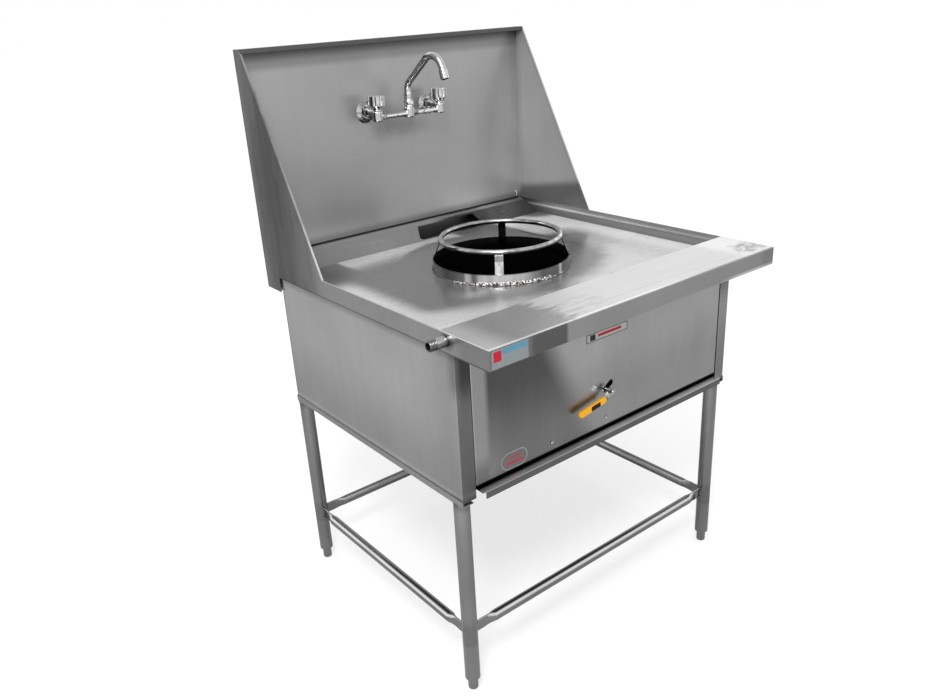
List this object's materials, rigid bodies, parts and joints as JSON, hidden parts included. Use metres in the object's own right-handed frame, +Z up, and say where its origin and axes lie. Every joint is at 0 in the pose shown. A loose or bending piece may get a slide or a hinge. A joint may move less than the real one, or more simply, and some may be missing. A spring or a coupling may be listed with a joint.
{
  "type": "wok range",
  "caption": "Stainless wok range: recessed wet well with collar and raised wok ring, sloped wings, splashback with swivel tap, gas valve, drip tray and tube legs.",
  "frame": {"origin": "on the floor, below the centre of the whole outline", "axes": "+Z up, +Y towards the wall, +X to the right of someone at the front"},
  "size_m": [0.933, 0.9338, 1.406],
  "materials": {
    "sheet": "satin stainless sheet",
    "tube": "satin stainless tube",
    "foot_metal": "turned stainless",
    "ring_metal": "bright stainless bar",
    "drum_steel": "stainless, dark with heat inside",
    "refractory": "sooty cast refractory",
    "cast": "raw casting",
    "strap": "mill finish",
    "brass": "turned",
    "pipe": "galvanised pipe",
    "plated": "nickel plated",
    "sleeve": "dipped vinyl",
    "chrome": "polished chrome"
  },
  "bodies": {
    "range": {"worktop": "sheet", "front_shelf": "sheet", "wing_left": "sheet", "wing_right": "sheet", "splashback": "sheet", "side_panel_left": "sheet", "side_panel_right": "sheet", "front_panel": "sheet", "rear_panel": "sheet", "rear_gutter": "sheet", "base_rail_left": "sheet", "base_rail_right": "sheet", "base_rail_rear": "sheet", "tray_runners": "sheet", "valve_bracket": "sheet", "leg_front_left": "tube", "leg_front_right": "tube", "leg_rear_left": "tube", "leg_rear_right": "tube", "brace_front": "tube", "brace_rear": "tube", "brace_left": "tube", "brace_right": "tube", "foot_sockets": "foot_metal", "wok_ring": "ring_metal", "ring_post_1": "ring_metal", "ring_post_2": "ring_metal", "ring_post_3": "ring_metal", "ring_post_4": "ring_metal", "burner_drum": "drum_steel", "drum_lining": "refractory", "burner_head": "cast", "mixing_tube": "cast", "burner_bracket": "strap", "injector": "brass", "gas_inlet_pipe": "pipe", "gas_elbows": "pipe", "gas_drop_pipes": "pipe", "feed_pipe": "pipe", "valve_body": "plated", "panel_screws": "plated", "tap_body": "chrome", "tap_flanges": "chrome", "tap_backnuts": "chrome", "tap_bonnets": "chrome", "spout_nut": "chrome"},
    "tray": {"drip_tray": "sheet"},
    "lever": {"valve_ball": "plated", "valve_lever": "plated", "lever_nut": "plated", "lever_sleeve": "sleeve"},
    "shutter": {"air_shutter": "cast"},
    "spout": {"tap_spout": "chrome"},
    "knob_left": {"tap_handle_left": "chrome"},
    "knob_right": {"tap_handle_right": "chrome"},
    "adjuster_front_left": {"foot_front_left": "foot_metal"},
    "adjuster_front_right": {"foot_front_right": "foot_metal"},
    "adjuster_rear_left": {"foot_rear_left": "foot_metal"},
    "adjuster_rear_right": {"foot_rear_right": "foot_metal"}
  },
  "joints": [
    {"name": "tray_slide", "type": "slide", "parent": "range", "child": "tray", "axis": [0, -1, 0], "range_m": [0, 0.4]},
    {"name": "valve_turn", "type": "hinge", "parent": "range", "child": "lever", "pos_m": [0.0055, -0.3694, 0.642], "axis": [0, 1, 0], "range_deg": [0, 90]},
    {"name": "shutter_turn", "type": "hinge", "parent": "range", "child": "shutter", "pos_m": [0.02, -0.1987, 0.58], "axis": [0, 1, 0], "range_deg": [0, 45]},
    {"name": "spout_swivel", "type": "hinge", "parent": "range", "child": "spout", "pos_m": [0.02, 0.3757, 1.2363], "axis": [0, 0, 1], "range_deg": [-90, 90]},
    {"name": "knob_left_turn", "type": "hinge", "parent": "range", "child": "knob_left", "pos_m": [-0.0815, 0.3757, 1.253], "axis": [0, 0, 1], "range_deg": [0, 540]},
    {"name": "knob_right_turn", "type": "hinge", "parent": "range", "child": "knob_right", "pos_m": [0.1215, 0.3757, 1.253], "axis": [0, 0, 1], "range_deg": [0, 540]},
    {"name": "front_left_foot_screw", "type": "slide", "parent": "range", "child": "adjuster_front_left", "axis": [0, 0, -1], "range_m": [0, 0.025]},
    {"name": "front_right_foot_screw", "type": "slide", "parent": "range", "child": "adjuster_front_right", "axis": [0, 0, -1], "range_m": [0, 0.025]},
    {"name": "rear_left_foot_screw", "type": "slide", "parent": "range", "child": "adjuster_rear_left", "axis": [0, 0, -1], "range_m": [0, 0.025]},
    {"name": "rear_right_foot_screw", "type": "slide", "parent": "range", "child": "adjuster_rear_right", "axis": [0, 0, -1], "range_m": [0, 0.025]}
  ]
}
